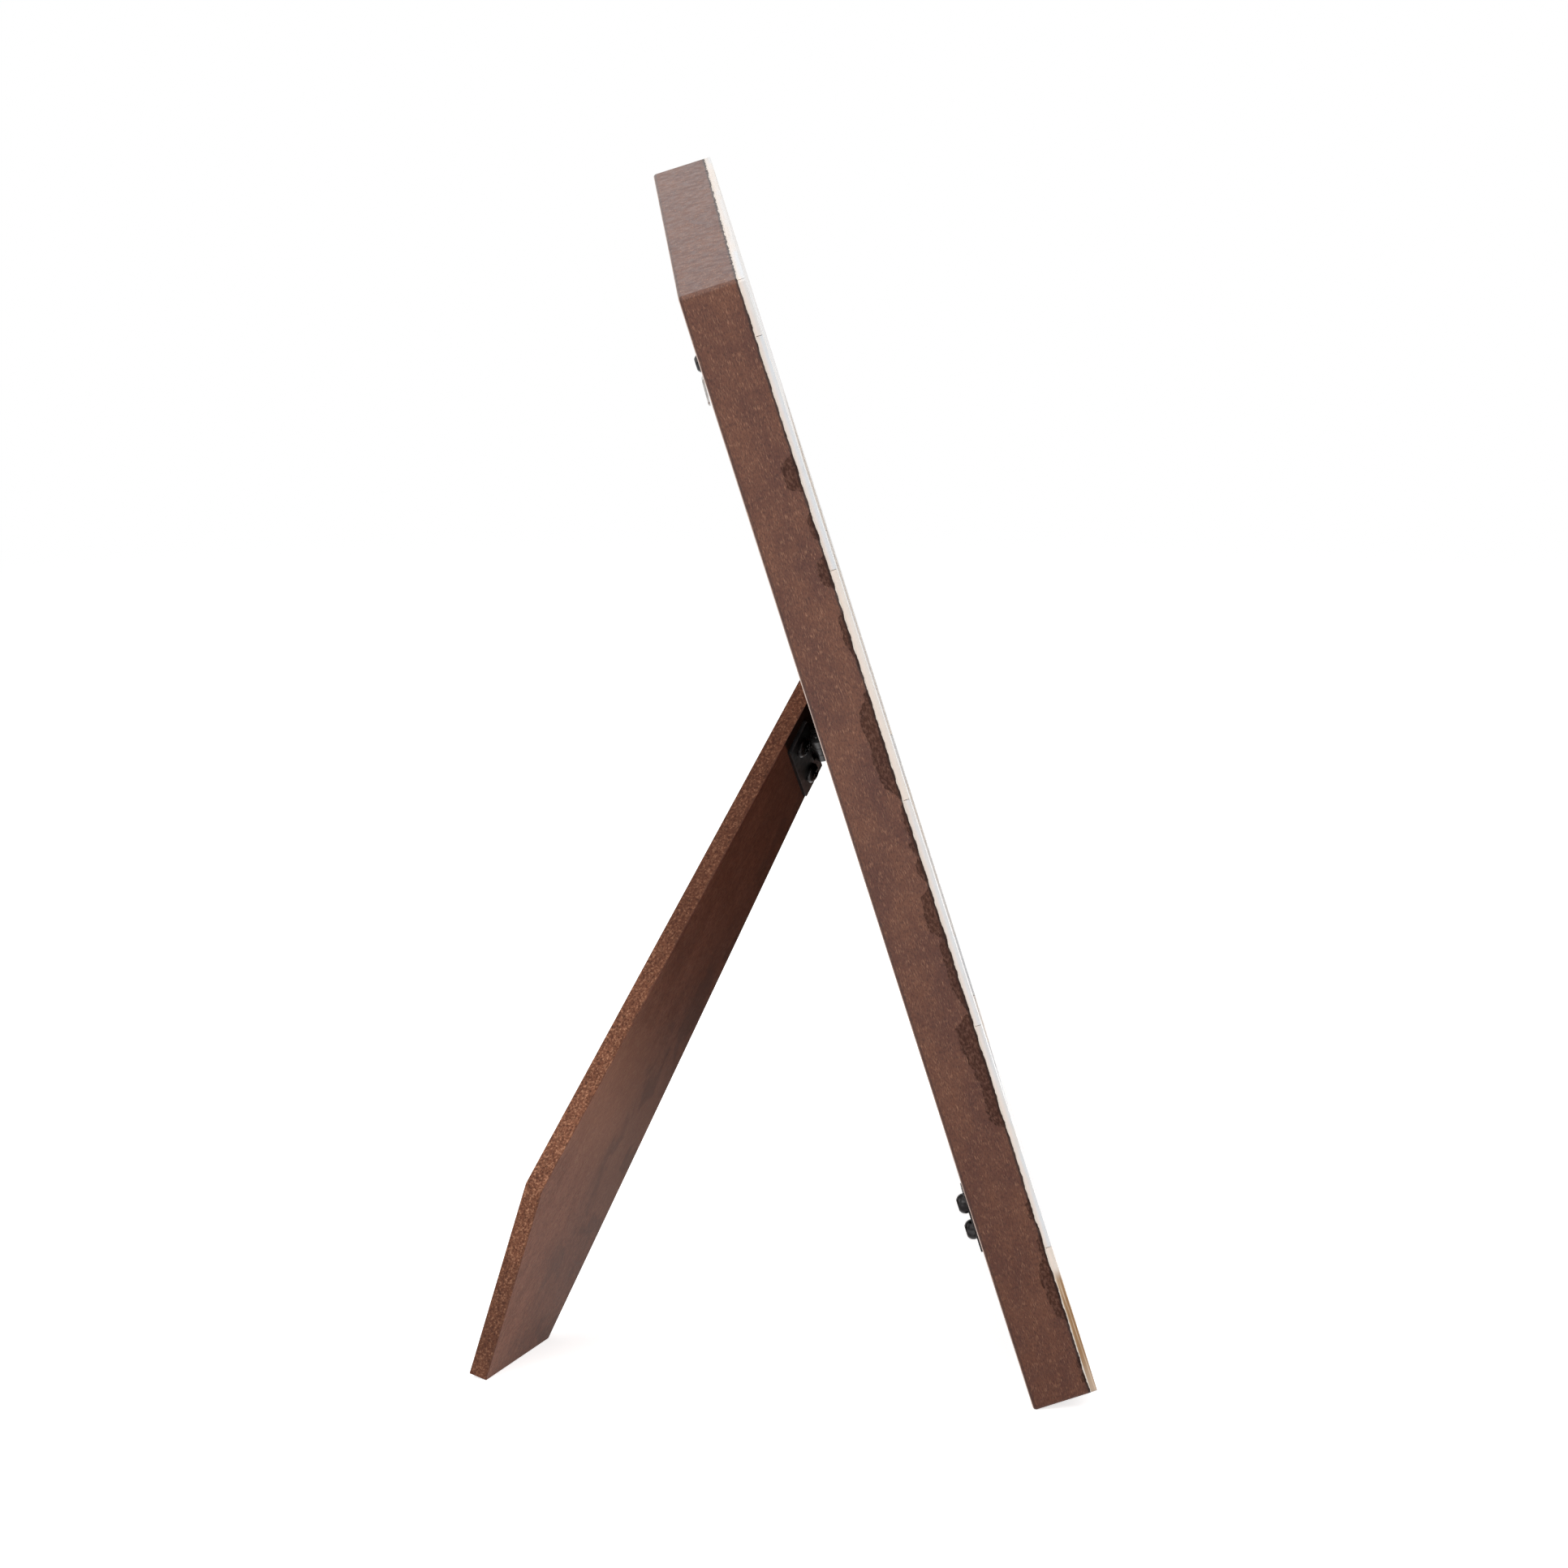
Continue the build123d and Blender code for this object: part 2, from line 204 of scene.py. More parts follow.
# Axes that patterns follow: origin, then the directions of x, y and z
whole_axes = (base_point, across, up, front)
leg_axes = (hinge_point, -leg_dir, leg_inner, hinge_dir)
half_width, frame_height, half_thickness = node_along("right_stile", whole_axes).max(0)
leg_level = node_along("leg_board", leg_axes)[:, 1].max()
leaf_end = node_along("hinge_leg_leaf", leg_axes)[:, 0].min()
print_low = node_along("photo_print", whole_axes).min(0)
print_high = node_along("photo_print", whole_axes).max(0)

# Each board's axes start on its outer face: x along the board, y outwards, z to the front
to_side = across * half_width * mm
to_top = up * frame_height * mm
board_axes = {
    "left": (base_point - to_side, up, -across, front),
    "bottom": (base_point, -across, -up, front),
    "right": (base_point + to_side + to_top, -up, across, front),
    "top": (base_point + to_top, across, up, front),
}


def colour(red, green, blue):
    """A colour given in display values from 0 to 255, as shaders' linear values, by the sRGB curve."""
    display = np.array((red, green, blue)) / 255
    linear = np.where(display <= 0.04045, display / 12.92, ((display + 0.055) / 1.055) ** 2.4)
    return (*linear, 1.0)


class Shading:
    """A tree of shader nodes. Each method but feed adds nodes and gives an output."""

    def __init__(self, tree):
        self.tree = tree

    def add(self, kind, **settings):
        node = self.tree.nodes.new(kind)
        for key, value in settings.items():
            setattr(node, key, value)
        return node

    def feed(self, socket, value):
        """Links a socket to an output, or sets its plain value."""
        if isinstance(value, bpy.types.NodeSocket):
            self.tree.links.new(value, socket)
        else:
            socket.default_value = value

    def place(self, axes):
        """Object coordinates along a set of axes, in millimetres."""
        origin, *directions = axes
        mapping = self.add("ShaderNodeMapping", vector_type="TEXTURE")
        self.feed(mapping.inputs["Vector"], self.add("ShaderNodeTexCoord").outputs["Object"])
        mapping.inputs["Location"].default_value = origin
        mapping.inputs["Rotation"].default_value = Matrix(directions).transposed().to_euler()
        mapping.inputs["Scale"].default_value = (mm, mm, mm)
        return mapping.outputs["Vector"]

    def apart(self, place):
        """The x, y and z of a place."""
        split = self.add("ShaderNodeSeparateXYZ")
        self.feed(split.inputs[0], place)
        return split.outputs

    def attribute(self, name):
        return self.add("ShaderNodeAttribute", attribute_name=name).outputs["Fac"]

    def vector(self, operation, first, second):
        node = self.add("ShaderNodeVectorMath", operation=operation)
        self.feed(node.inputs[0], first)
        self.feed(node.inputs[1], second)
        return node.outputs[0]

    def noise(self, place, sizes, detail, roughness=0.5, distortion=0.0):
        """Cloudy noise from 0 to 1, with a lump size in millimetres along each axis."""
        node = self.add("ShaderNodeTexNoise")
        self.feed(node.inputs["Vector"], self.vector("DIVIDE", place, sizes))
        node.inputs["Scale"].default_value = 1.0
        node.inputs["Detail"].default_value = detail
        node.inputs["Roughness"].default_value = roughness
        node.inputs["Distortion"].default_value = distortion
        return node.outputs["Fac"]

    def math(self, operation, *values):
        node = self.add("ShaderNodeMath", operation=operation)
        for socket, value in zip(node.inputs, values):
            self.feed(socket, value)
        return node.outputs[0]

    def product(self, first, *others):
        """The product of several values."""
        for value in others:
            first = self.math("MULTIPLY", first, value)
        return first

    def apart_from(self, value, middle):
        """How far a value is from a middle, either way."""
        return self.math("ABSOLUTE", self.math("SUBTRACT", value, middle))

    def fade(self, value, low, high, start=0.0, end=1.0):
        """Goes smoothly from start to end as a value goes from low to high."""
        node = self.add("ShaderNodeMapRange", interpolation_type="SMOOTHSTEP")
        for name, setting in (
            ("Value", value),
            ("From Min", low),
            ("From Max", high),
            ("To Min", start),
            ("To Max", end),
        ):
            self.feed(node.inputs[name], setting)
        return node.outputs["Result"]

    def blend(self, share, first, second):
        """Goes from the first colour to the second as the share goes from 0 to 1."""
        node = self.add("ShaderNodeMix", data_type="RGBA")
        share_socket, first_socket, second_socket = node.inputs[0], node.inputs[6], node.inputs[7]
        self.feed(share_socket, share)
        self.feed(first_socket, first)
        self.feed(second_socket, second)
        return node.outputs[2]

    def seen_directly(self):
        """1 for rays from the camera, from mirrors and through glass, and 0 for the rest."""
        path = self.add("ShaderNodeLightPath").outputs
        either = self.math("MAXIMUM", path["Is Camera Ray"], path["Is Glossy Ray"])
        return self.math("MAXIMUM", either, path["Is Transmission Ray"])


class Finish(Shading):
    """A material's nodes around its main shader."""

    def __init__(self, name, roughness=0.5, specular=0.5, metallic=0.0):
        self.material = bpy.data.materials.new(name)
        self.material.use_nodes = True
        super().__init__(self.material.node_tree)
        self.shader = self.tree.nodes["Principled BSDF"]
        self.paint("Roughness", roughness)
        self.paint("Specular IOR Level", specular)
        self.paint("Metallic", metallic)

    def paint(self, socket, value):
        """Gives one of the main shader's inputs an output or a plain value."""
        self.feed(self.shader.inputs[socket], value)

    def relief(self, height, depth, strength):
        """Bumps whose full height is a depth in millimetres."""
        node = self.add("ShaderNodeBump")
        node.inputs["Strength"].default_value = strength
        node.inputs["Distance"].default_value = depth * mm
        self.feed(node.inputs["Height"], height)
        self.paint("Normal", node.outputs["Normal"])

    def give_way(self, share, shader):
        """Shows another shader instead of the main one, by a share from 0 to 1."""
        mix = self.add("ShaderNodeMixShader")
        self.feed(mix.inputs[0], share)
        self.feed(mix.inputs[1], self.shader.outputs[0])
        self.feed(mix.inputs[2], shader.outputs[0])
        self.feed(self.tree.nodes["Material Output"].inputs["Surface"], mix.outputs[0])


def fibreboard(finish, place, pore, dark, light, pale):
    """Colour and height of stained fibreboard: mottled, with fine pores and pale fibres."""
    mottle = finish.noise(place, (15, 8, 8), detail=4, roughness=0.65)
    grit = finish.noise(place, (0.8, 0.35, 0.35), detail=3, roughness=0.7)
    thread = finish.noise(place, (1.3, 0.22, 0.22), detail=2, roughness=0.6, distortion=0.3)
    patch = finish.noise(place, (3.0, 1.6, 1.6), detail=2)
    fibre = finish.product(finish.fade(thread, 0.48, 0.76), finish.fade(patch, 0.4, 0.6, 0.15, 1.0))
    tone = finish.blend(finish.fade(mottle, 0.34, 0.66), dark, light)
    tone = finish.blend(finish.fade(grit, 0.28, 0.62, 0.75, 0.0), tone, pore)
    tone = finish.blend(finish.product(fibre, 0.7), tone, pale)
    return tone, finish.math("ADD", grit, fibre)


def stain_reach(finish, along, pools):
    """How far the stain runs in from the tiles: a little everywhere, and further at each pool."""
    reach = least_stain
    for middle, half_length, most in pools:
        away = finish.apart_from(along, middle)
        pool = finish.fade(away, full_pool * half_length, half_length, most, 0.0)
        reach = finish.math("MAXIMUM", reach, pool)
    return reach


def stained_board(name, axes, pools):
    """Brown stained fibreboard, with marks along the tiles, painted shade towards the foot, and a pale
    back arris from wear and a painted highlight.
    """
    finish = Finish(name)
    place = finish.place(axes)
    along, outwards, depth = finish.apart(place)
    from_tiles = finish.math("SUBTRACT", half_thickness, depth)
    from_back = finish.math("ADD", depth, half_thickness)
    brown, height = fibreboard(
        finish, place, colour(50, 27, 21), colour(93, 54, 43), colour(115, 72, 54), colour(178, 130, 102)
    )
    # Painted shade: the boards' colour darkens towards the foot
    _, height_up, _ = finish.apart(finish.place(whole_axes))
    painted_foot_shade = finish.fade(height_up, 0.0, foot_reach, 0.22, 0.0)
    brown = finish.blend(painted_foot_shade, brown, colour(60, 32, 22))

    # Dark smeared stain pools with a darker rim, and a dark seam at the tiles
    ragged = finish.noise(place, (3.6, 2.2, 2.2), detail=3, roughness=0.55)
    uneven = finish.fade(ragged, 0.3, 0.7, -0.5, 0.5)
    reach = finish.math("ADD", stain_reach(finish, along, pools), uneven)
    inside = finish.math("SUBTRACT", reach, from_tiles)
    smear = finish.noise(place, (1.1, 0.6, 0.6), detail=3, roughness=0.65)
    smeared = finish.fade(smear, 0.42, 0.66, 0.0, 0.8)
    dark = finish.blend(smeared, colour(46, 24, 17), colour(112, 80, 69))
    rim = finish.fade(finish.apart_from(inside, 0.25), 0.0, 0.4, 0.2, 0.0)
    pooled = finish.math("ADD", finish.fade(inside, 0.0, 0.3, 0.0, 0.68), rim)
    brown = finish.blend(pooled, brown, dark)
    seam = finish.fade(finish.math("SUBTRACT", from_tiles, ragged), 0.0, 0.5, 0.85, 0.0)
    brown = finish.blend(seam, brown, colour(40, 24, 20))

    # Pale squeezed-out glue at the tiles
    squeeze = finish.noise(place, (4, 3, 40), detail=4, roughness=0.6)
    squeezed = finish.fade(squeeze, 0.3, 0.7, 0.08, 0.4)
    glue = finish.fade(finish.math("SUBTRACT", squeezed, from_tiles), -0.04, 0.08)
    brown = finish.blend(glue, brown, colour(230, 219, 207))

    # Back arris paled by wear and a painted highlight, with a dark line beside it
    beside = finish.fade(finish.apart_from(from_back, arris_line), 0.1, 0.35, 0.5, 0.0)
    shaded = finish.product(beside, finish.fade(outwards, -0.9, -0.5))
    brown = finish.blend(shaded, brown, colour(56, 36, 31))
    by_back = finish.fade(from_back, 0.05, 0.28, 1.0, 0.0)
    arris_patchiness = finish.fade(finish.noise(place, (24, 5, 5), detail=3), 0.3, 0.5, 0.4, 1.0)
    worn_and_highlit = finish.product(by_back, finish.fade(outwards, -1.5, -0.9), arris_patchiness)
    brown = finish.blend(worn_and_highlit, brown, colour(232, 208, 194))
    finish.paint("Base Color", brown)

    # Duller at the foot and in the pools
    dull_foot = finish.fade(height_up, 0.0, foot_reach, 0.22, 0.4)
    dull_pools = finish.fade(pooled, 0.0, 0.7, 1.0, 0.4)
    finish.paint("Specular IOR Level", finish.product(dull_foot, dull_pools))
    finish.paint("Roughness", finish.fade(ragged, 0.3, 0.7, 0.40, 0.52))
    finish.relief(height, 0.04, 0.5)
    return finish.material


def stained_back(name):
    """Plain brown stained fibreboard."""
    finish = Finish(name, specular=0.4)
    place = finish.place(whole_axes)
    brown, height = fibreboard(
        finish, place, colour(74, 44, 34), colour(108, 67, 52), colour(128, 83, 64), colour(168, 124, 98)
    )
    finish.paint("Base Color", brown)
    finish.paint("Roughness", finish.fade(height, 0.3, 0.9, 0.44, 0.54))
    finish.relief(height, 0.03, 0.5)
    return finish.material


def pale_tile(name, axes):
    """Polished off-white tile with faint streaks along its length, which are strong where it is tan."""
    finish = Finish(name)
    place = finish.place(axes)
    along, outwards, depth = finish.apart(place)
    tone = finish.attribute("tone")
    own = finish.vector("ADD", place, finish.vector("MULTIPLY", tone, tile_shift))
    cloud = finish.noise(own, (18, 6, 6), detail=3)
    streak = finish.noise(own, (26, 3.0, 0.6), detail=4, roughness=0.6, distortion=0.4)
    fleck = finish.noise(own, (3.0, 0.6, 0.35), detail=2)
    cream = finish.blend(finish.fade(tone, 0.1, 0.9), colour(225, 227, 230), colour(235, 225, 216))
    cream = finish.blend(finish.fade(cloud, 0.5, 0.72, 0.0, 0.5), cream, colour(234, 217, 200))
    by_board = finish.fade(finish.math("SUBTRACT", depth, half_thickness), 0.0, 1.2, 0.7, 0.0)
    cream = finish.blend(by_board, cream, colour(242, 222, 208))
    cream = finish.blend(finish.fade(streak, 0.5, 0.78, 0.0, 0.35), cream, colour(206, 182, 156))
    cream = finish.blend(finish.fade(fleck, 0.62, 0.8, 0.0, 0.18), cream, colour(170, 142, 116))
    honey = finish.blend(finish.fade(streak, 0.32, 0.58), colour(222, 196, 166), colour(146, 106, 62))
    honey = finish.blend(finish.fade(along, 0.0, tan_foot, 0.45, 0.0), honey, colour(226, 208, 190))
    below = finish.fade(along, tan_height - tan_end, tan_height, 1.0, 0.0)
    by_side = finish.fade(outwards, -tan_inwards, -0.5, 0.15, 1.0)
    tan = finish.product(finish.attribute("tan"), below, by_side)
    finish.paint("Base Color", finish.blend(tan, cream, honey))
    finish.paint("Roughness", finish.fade(streak, 0.3, 0.7, 0.2, 0.32))
    finish.relief(streak, 0.02, 0.4)
    return finish.material


def leg_face(name):
    """Stained face of the leg: warm by its near edge, greyer and blotched towards the far one."""
    finish = Finish(name, specular=0.06)
    place = finish.place(leg_axes)
    upwards, level, sideways = finish.apart(place)
    brown, height = fibreboard(
        finish, place, colour(88, 53, 40), colour(125, 79, 61), colour(143, 94, 74), colour(168, 124, 98)
    )
    # Painted shade up the leg towards the hinge, under the frame
    brown = finish.blend(finish.fade(upwards, *leg_shaded, 0.0, 0.2), brown, colour(78, 45, 34))
    thin_stain = finish.fade(finish.apart_from(upwards, leg_thin_stain), 6.0, 30.0, 0.3, 0.0)
    brown = finish.blend(thin_stain, brown, colour(186, 134, 106))
    wander = finish.noise(place, (40, 14, 14), detail=2)
    far = finish.math("ADD", sideways, finish.fade(wander, 0.3, 0.7, -6.0, 6.0))
    brown = finish.blend(finish.fade(far, -10.0, 16.0, 0.0, 0.3), brown, colour(92, 65, 54))
    blotch = finish.noise(place, (13, 9, 9), detail=2, distortion=0.6)
    blotched = finish.product(finish.fade(blotch, 0.5, 0.6, 0.0, 0.35), finish.fade(far, 0.0, 8.0))
    brown = finish.blend(blotched, brown, colour(74, 50, 42))

    # Near-black round the hinge, on the inner face only
    by_hinge = finish.fade(upwards, leaf_end - 0.3, leaf_end + 0.7, 0.0, 0.9)
    inside = finish.fade(level, leg_level - 1.0, leg_level - 0.5)
    brown = finish.blend(finish.product(by_hinge, inside), brown, colour(16, 12, 11))
    finish.paint("Base Color", brown)
    finish.paint("Roughness", finish.fade(upwards, *leg_gloss, 0.44, 0.56))
    finish.relief(height, 0.03, 0.4)
    return finish.material


def leg_edge(name):
    """Sawn edge of the leg: orange-brown fibres, with the face's stain lapping over the inner arris."""
    finish = Finish(name, roughness=0.7, specular=0.2)
    place = finish.place(leg_axes)
    upwards, level, _ = finish.apart(place)
    orange, height = fibreboard(
        finish, place, colour(70, 37, 25), colour(118, 72, 51), colour(142, 90, 66), colour(190, 140, 108)
    )
    speck = finish.noise(place, (0.6, 0.6, 0.6), detail=2, roughness=0.6)
    orange = finish.blend(finish.fade(speck, 0.52, 0.7, 0.0, 0.75), orange, colour(196, 142, 110))
    orange = finish.blend(finish.fade(speck, 0.3, 0.48, 0.75, 0.0), orange, colour(56, 28, 18))
    # Painted shade on the edge below the hinge and on the lower cut at the foot
    orange = finish.blend(finish.fade(upwards, *leg_edge_shaded, 0.0, 0.36), orange, colour(74, 39, 26))
    orange = finish.blend(finish.fade(upwards, *leg_edge_foot, 0.45, 0.0), orange, colour(58, 32, 24))
    ragged = finish.noise(place, (3, 30, 3), detail=4, roughness=0.6)
    from_inner = finish.math("SUBTRACT", level, leg_level)
    lap = finish.math("ADD", from_inner, finish.fade(ragged, 0.3, 0.7, 0.1, 0.7))
    orange = finish.blend(finish.fade(lap, -0.1, 0.4, 0.0, 0.7), orange, colour(92, 60, 48))
    finish.paint("Base Color", orange)
    finish.relief(height, 0.04, 0.5)
    return finish.material


def black_enamel(name, worn_and_highlit):
    """Black enamel on steel, a little uneven; on worn edges it is thinner and shows warm grey, which also
    serves as the edges' painted highlight.
    """
    finish = Finish(name, specular=0.4)
    place = finish.place(whole_axes)
    blotch = finish.noise(place, (1.6, 1.6, 1.6), detail=3)
    fine = finish.noise(place, (0.3, 0.3, 0.3), detail=2)
    black = finish.blend(finish.fade(blotch, 0.35, 0.7), colour(9, 8, 8), colour(19, 17, 17))
    # Edges: worn warm grey that also stands for their painted highlight
    if worn_and_highlit:
        black = finish.blend(finish.fade(blotch, 0.42, 0.6, 0.1, 0.7), black, colour(104, 94, 90))
    finish.paint("Base Color", black)
    finish.paint("Roughness", finish.fade(blotch, 0.3, 0.7, 0.28, 0.42))
    finish.relief(fine, 0.015, 0.5)
    return finish.material


def metal(name, dull, clean, rough):
    """Bare metal between a dull and a clean colour, smoother where it is clean."""
    finish = Finish(name, metallic=1.0)
    place = finish.place(whole_axes)
    stain = finish.noise(place, (2.2, 2.2, 2.2), detail=3)
    fine = finish.noise(place, (0.25, 0.25, 0.25), detail=2)
    finish.paint("Base Color", finish.blend(finish.fade(stain, 0.35, 0.65), dull, clean))
    finish.paint("Roughness", finish.fade(stain, 0.3, 0.7, rough + dull_roughness, rough))
    finish.relief(fine, 0.01, 0.4)
    return finish.material


def clear_glass(name):
    """Plain window glass that lets the lamps' light through to the print."""
    finish = Finish(name, roughness=0.0)
    finish.paint("Base Color", colour(255, 255, 255))
    finish.paint("Transmission Weight", 1.0)
    finish.paint("IOR", 1.5)
    shadow_ray = finish.add("ShaderNodeLightPath").outputs["Is Shadow Ray"]
    finish.give_way(shadow_ray, finish.add("ShaderNodeBsdfTransparent"))
    return finish.material


def print_paper(name):
    """Blank insert of warm white paper with a faint fibre and one thin border line."""
    finish = Finish(name, roughness=0.6)
    place = finish.place(whole_axes)
    sideways, upwards, _ = finish.apart(place)
    middle = (print_low + print_high) / 2
    half = (print_high - print_low) / 2
    from_side = finish.math("SUBTRACT", half[0], finish.apart_from(sideways, middle[0]))
    from_end = finish.math("SUBTRACT", half[1], finish.apart_from(upwards, middle[1]))
    inset = finish.math("MINIMUM", from_side, from_end)
    from_line = finish.apart_from(inset, border_inset)
    line = finish.fade(from_line, 0.4 * border_width, 0.6 * border_width, 0.75, 0.0)
    fibre = finish.noise(place, (1.2, 0.4, 1.2), detail=3)
    paper = finish.blend(fibre, colour(226, 222, 212), colour(238, 235, 228))
    finish.paint("Base Color", finish.blend(line, paper, colour(138, 122, 108)))
    return finish.material


def grey_card(name):
    """Grey card with pale and dark fibres."""
    finish = Finish(name, roughness=0.85)
    fibre = finish.noise(finish.place(whole_axes), (1.5, 0.4, 0.4), detail=3)
    finish.paint("Base Color", finish.blend(fibre, colour(128, 124, 118), colour(168, 164, 156)))
    return finish.material


def merged_copy(node, materials, edge=0.0, edge_material=-1):
    """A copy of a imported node: its triangles joined, its flat faces whole and its edges softened."""
    source = nodes[node].data
    source.calc_loop_triangles()
    corners = np.empty(len(source.loop_triangles) * 3, dtype=np.int32)
    source.loop_triangles.foreach_get("vertices", corners)
    mesh = bpy.data.meshes.new(node + "_piece")
    mesh.from_pydata(mesh_points(source), [], corners.reshape(-1, 3))
    work = bmesh.new()
    work.from_mesh(mesh)
    bmesh.ops.remove_doubles(work, verts=work.verts, dist=weld_distance)
    bmesh.ops.dissolve_limit(work, angle_limit=flat_angle, verts=work.verts, edges=work.edges)
    work.to_mesh(mesh)
    work.free()
    mesh.shade_smooth()
    mesh.set_sharp_from_angle(angle=crease_angle)
    piece = bpy.data.objects.new(node + "_piece", mesh)
    bpy.context.collection.objects.link(piece)
    for material in materials:
        mesh.materials.append(material)
    if edge:
        bevel = piece.modifiers.new("arris", "BEVEL")
        bevel.width = edge * mm
        bevel.segments = arris_segments
        bevel.limit_method = "ANGLE"
        bevel.angle_limit = crease_angle
        bevel.material = edge_material
        bevel.harden_normals = True
    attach(piece, nodes[node]["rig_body"])
    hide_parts(node)
    return piece


def face_normals(mesh):
    """Each face's normal as a row."""
    normals = np.empty(len(mesh.polygons) * 3)
    mesh.polygons.foreach_get("normal", normals)
    return normals.reshape(-1, 3)


def islands(mesh):
    """A number for each face that its whole tile shares: the least point number it is joined to."""
    edges = np.empty(len(mesh.edges) * 2, dtype=np.int32)
    mesh.edges.foreach_get("vertices", edges)
    edges = edges.reshape(-1, 2)
    label = np.arange(len(mesh.vertices))
    while True:
        least = label.copy()
        np.minimum.at(least, edges[:, 0], label[edges[:, 1]])
        np.minimum.at(least, edges[:, 1], label[edges[:, 0]])
        if np.array_equal(least, label):
            break
        label = least
    first_corner = np.empty(len(mesh.polygons), dtype=np.int32)
    mesh.polygons.foreach_get("loop_start", first_corner)
    corner_point = np.empty(len(mesh.loops), dtype=np.int32)
    mesh.loops.foreach_get("vertex_index", corner_point)
    return label[corner_point[first_corner]]


def face_values(mesh, name, values):
    """Stores one number for each face."""
    layer = mesh.attributes.new(name, "FLOAT", "FACE")
    layer.data.foreach_set("value", np.asarray(values, dtype=np.float32))


def set_back(piece, gap):
    """Draws a piece's front face back by a gap in millimetres, off the plane of what lies before it."""
    points = mesh_points(piece.data)
    forward = points @ np.array(front)
    points[forward > forward.max() - weld_distance] -= gap * mm * np.array(front)
    piece.data.vertices.foreach_set("co", points.ravel())


def tiled(side, material, rng):
    """The tiles of one board, each with its own tone; the lowest outer one on the left is tan."""
    mesh = merged_copy(side + "_tiles", [material], edge=tile_arris).data
    tiles, tile_of_face = np.unique(islands(mesh), return_inverse=True)
    along, outwards, _ = seen_along(mesh_points(mesh), board_axes[side])[tiles].T
    tan = np.zeros(len(tiles))
    if side == "left":
        tan[np.argmin(along - outer_weight * outwards)] = 1.0
    face_values(mesh, "tone", rng.uniform(0, 1, len(tiles))[tile_of_face])
    face_values(mesh, "tan", tan[tile_of_face])


# Boards and their tiles
tone_rng = np.random.default_rng(tone_seed)
for side, board, pools in (
    ("left", "left_stile", stain_pools),
    ("bottom", "bottom_rail", ()),
    ("right", "right_stile", stain_pools),
    ("top", "top_rail", ()),
):
    merged_copy(board, [stained_board("stained_" + board, board_axes[side], pools)], edge=board_arris)
    tiled(side, pale_tile(side + "_tile", board_axes[side]), tone_rng)

# Leg with stained faces and sawn edges
leg = merged_copy("leg_board", [leg_face("leg_face"), leg_edge("leg_edge")], edge=leg_arris)
is_edge = np.abs(face_normals(leg.data) @ np.array(leg_inner)) < sawn_cosine
leg.data.polygons.foreach_set("material_index", is_edge.astype(np.int32))

# Picture stack
merged_copy("glass_pane", [clear_glass("clear_glass")], edge=glass_arris)
set_back(merged_copy("photo_print", [print_paper("print_paper")]), print_gap)
merged_copy("backing_card", [grey_card("grey_card")])
merged_copy("backing_board", [stained_back("stained_back")], edge=board_arris)

# Fittings: black hinge with worn edges that also carry a painted highlight, dark screws and plates,
# bright turn button and dull nails
enamel = [black_enamel("black_enamel", worn_and_highlit=False), black_enamel("worn_highlit_enamel", worn_and_highlit=True)]
dark_steel = metal("dark_steel", colour(36, 34, 34), colour(58, 56, 56), 0.18)
dull_steel = metal("dull_steel", colour(84, 80, 76), colour(126, 122, 117), 0.34)
bright_steel = metal("bright_steel", colour(184, 182, 178), colour(226, 225, 222), 0.24)
for node in ("hinge_fixed_leaf", "hinge_leg_leaf", "hinge_pin"):
    merged_copy(node, enamel, edge=hinge_arris, edge_material=1)
for node in (
    "fixed_leaf_screws",
    "leg_leaf_screws",
    "retainer_left",
    "retainer_right",
    "retainer_screws",
    "turn_button_screw",
):
    merged_copy(node, [dark_steel], edge=screw_arris)
merged_copy("turn_button", [bright_steel], edge=strip_arris)
merged_copy("corner_v_nails", [dull_steel], edge=strip_arris)


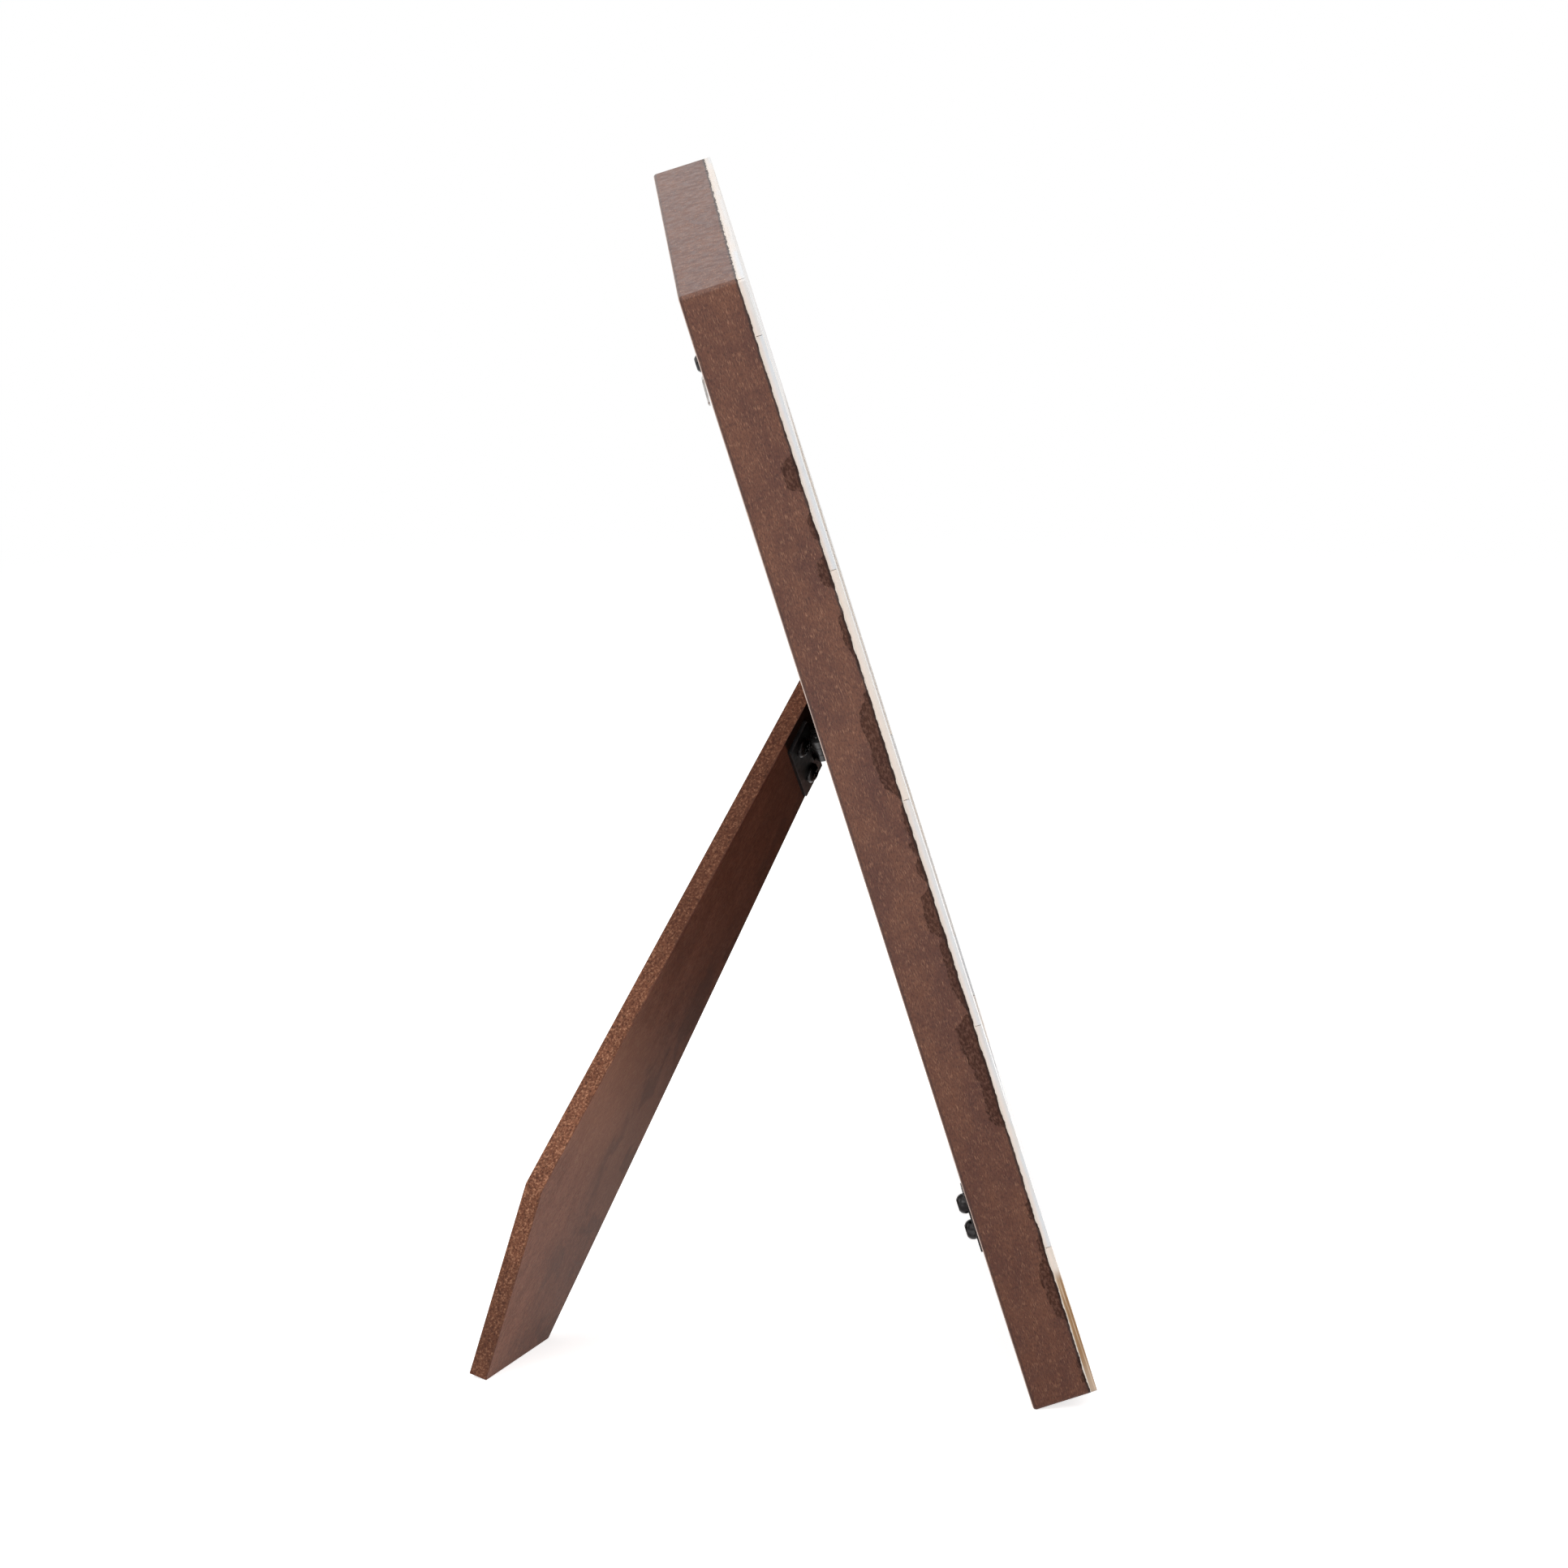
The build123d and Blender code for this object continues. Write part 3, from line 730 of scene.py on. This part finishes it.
def make_camera():
    """A camera at the photograph's place and angle."""
    camera = bpy.data.cameras.new("camera")
    camera.lens = camera_lens
    camera.clip_start = camera_near
    camera.clip_end = camera_far
    viewer = bpy.data.objects.new("camera", camera)
    ahead = Vector(
        (cos(camera_yaw) * cos(camera_pitch), sin(camera_yaw) * cos(camera_pitch), -sin(camera_pitch))
    )
    viewer.location = camera_place
    viewer.rotation_euler = ahead.to_track_quat("-Z", "Y").to_euler()
    bpy.context.collection.objects.link(viewer)
    bpy.context.scene.camera = viewer


def make_floor():
    """A white floor that shows the object's shadow and is plain white further off."""
    finish = Finish("floor", roughness=1.0, specular=0.0)
    direct = finish.seen_directly()
    finish.paint("Base Color", (floor_tone, floor_tone, floor_tone, 1.0))
    finish.paint("Emission Color", colour(255, 255, 255))
    finish.paint("Emission Strength", finish.product(direct, floor_lift))
    length = finish.add("ShaderNodeVectorMath", operation="LENGTH")
    finish.feed(length.inputs[0], finish.add("ShaderNodeTexCoord").outputs["Object"])
    far = finish.fade(length.outputs["Value"], floor_lit_reach, floor_white_reach)
    finish.give_way(finish.product(far, direct), finish.add("ShaderNodeEmission"))
    mesh = bpy.data.meshes.new("floor")
    corners = [(x * floor_reach, y * floor_reach, 0) for x, y in ((-1, -1), (1, -1), (1, 1), (-1, 1))]
    mesh.from_pydata(corners, [], [(0, 1, 2, 3)])
    mesh.materials.append(finish.material)
    floor = bpy.data.objects.new("floor", mesh)
    bpy.context.collection.objects.link(floor)


def make_sky():
    """White where it is seen directly, and an even fill light for the rest."""
    world = bpy.data.worlds.new("studio")
    bpy.context.scene.world = world
    world.use_nodes = True
    sky = Shading(world.node_tree)
    background = sky.tree.nodes["Background"].inputs
    sky.feed(background["Color"], colour(255, 255, 255))
    sky.feed(background["Strength"], sky.fade(sky.seen_directly(), 0.0, 1.0, sky_fill, 1.0))


def make_softbox(name, place, target, size, energy):
    """A square soft light at a place, turned to a target."""
    lamp = bpy.data.lights.new(name, "AREA")
    lamp.shape = "SQUARE"
    lamp.size = size
    lamp.energy = energy
    box = bpy.data.objects.new(name, lamp)
    box.location = place
    box.rotation_euler = (Vector(target) - Vector(place)).to_track_quat("-Z", "Y").to_euler()
    bpy.context.collection.objects.link(box)


make_camera()
make_floor()
make_sky()
for softbox in softboxes:
    make_softbox(*softbox)
bpy.context.scene.view_settings.view_transform = "Standard"
